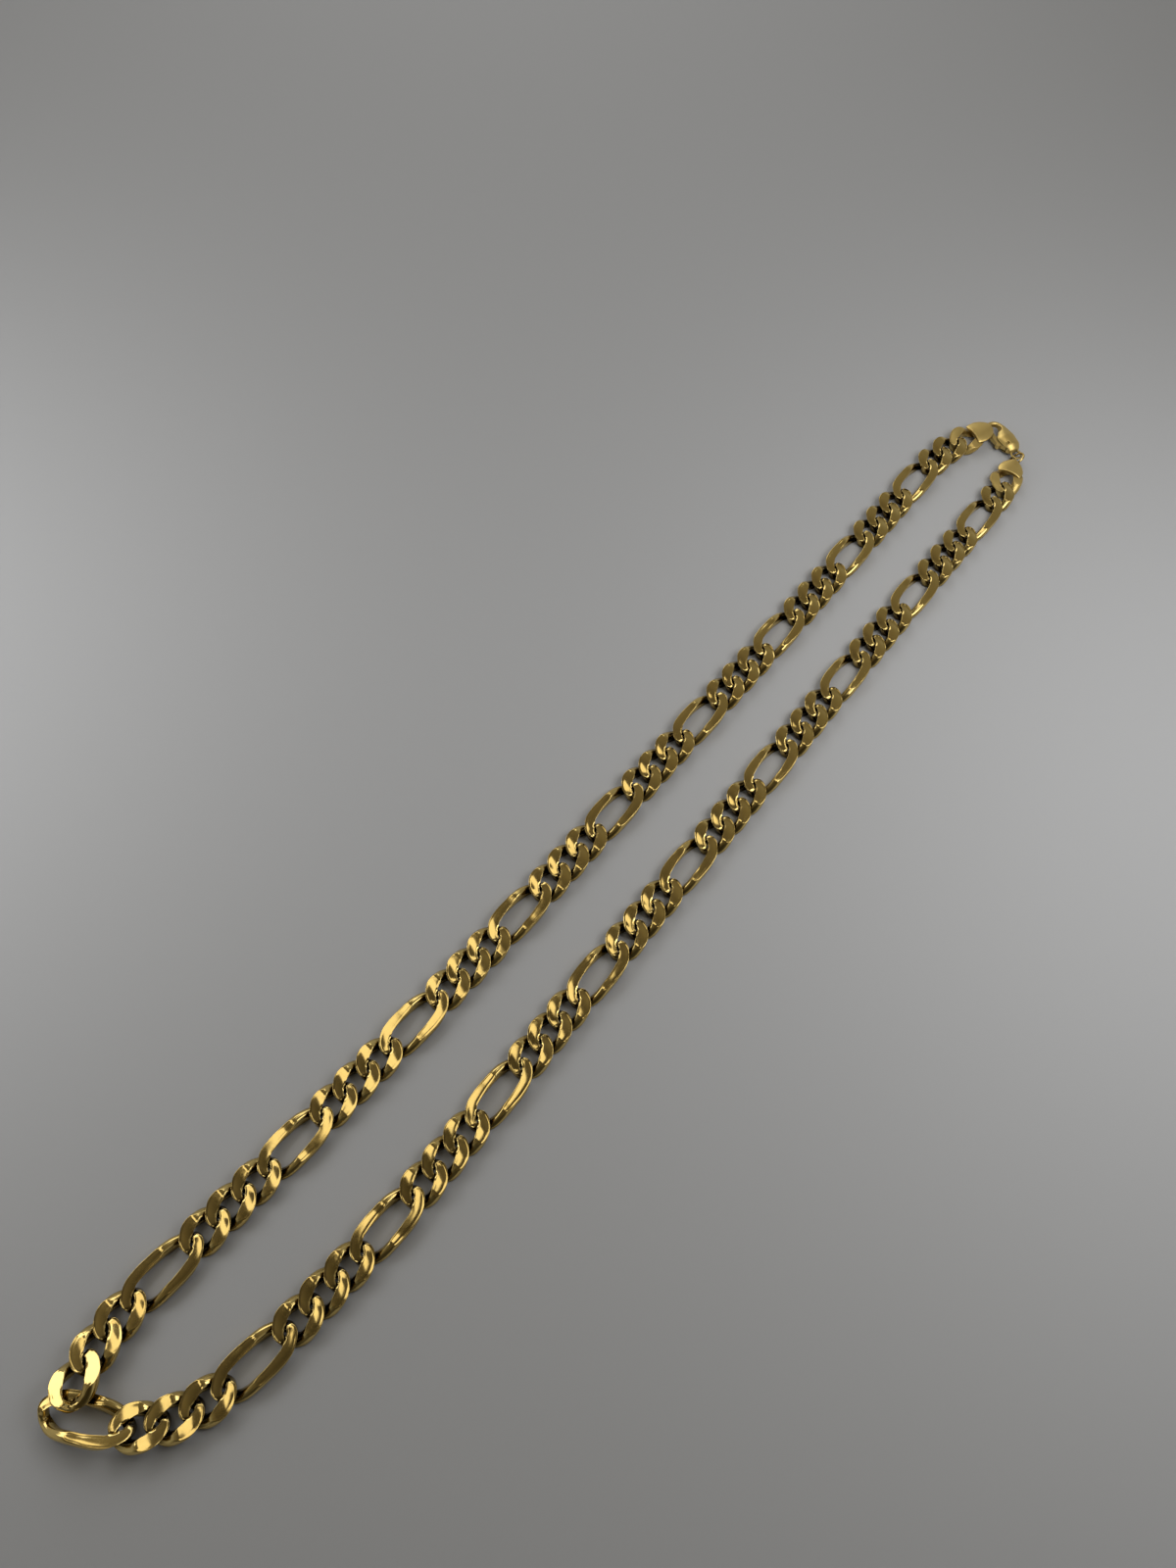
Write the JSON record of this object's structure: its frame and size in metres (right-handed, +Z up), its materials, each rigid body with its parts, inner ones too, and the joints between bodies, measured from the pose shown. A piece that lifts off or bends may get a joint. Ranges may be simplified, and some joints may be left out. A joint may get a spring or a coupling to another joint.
{
  "type": "chain necklace",
  "caption": "Figaro chain necklace: flat planed curb links, short ones broken by long ones, lying as a closed loop with end caps and a lobster clasp.",
  "frame": {"origin": "centre of the bounding box's bottom, on the surface the necklace lies on", "axes": "+Y along the loop from the bend to the clasp, +X to the side that ends in the jump ring, +Z up"},
  "size_m": [0.0318, 0.2939, 0.0051],
  "materials": {
    "gold": "polished"
  },
  "bodies": {
    "necklace": {"chain_left": "gold", "chain_right": "gold", "end_link_left": "gold", "end_link_right": "gold", "clasp_body": "gold", "clasp_pin": "gold", "jump_ring": "gold"},
    "lever": {"clasp_lever": "gold"}
  },
  "joints": [
    {"name": "gate_hinge", "type": "hinge", "parent": "necklace", "child": "lever", "pos_m": [0.00172, 0.14156, 0.0015], "axis": [0, 0, -1], "range_deg": [0, 20], "stiffness_Nm_per_rad": 0.002, "springref_deg": -20.05}
  ]
}
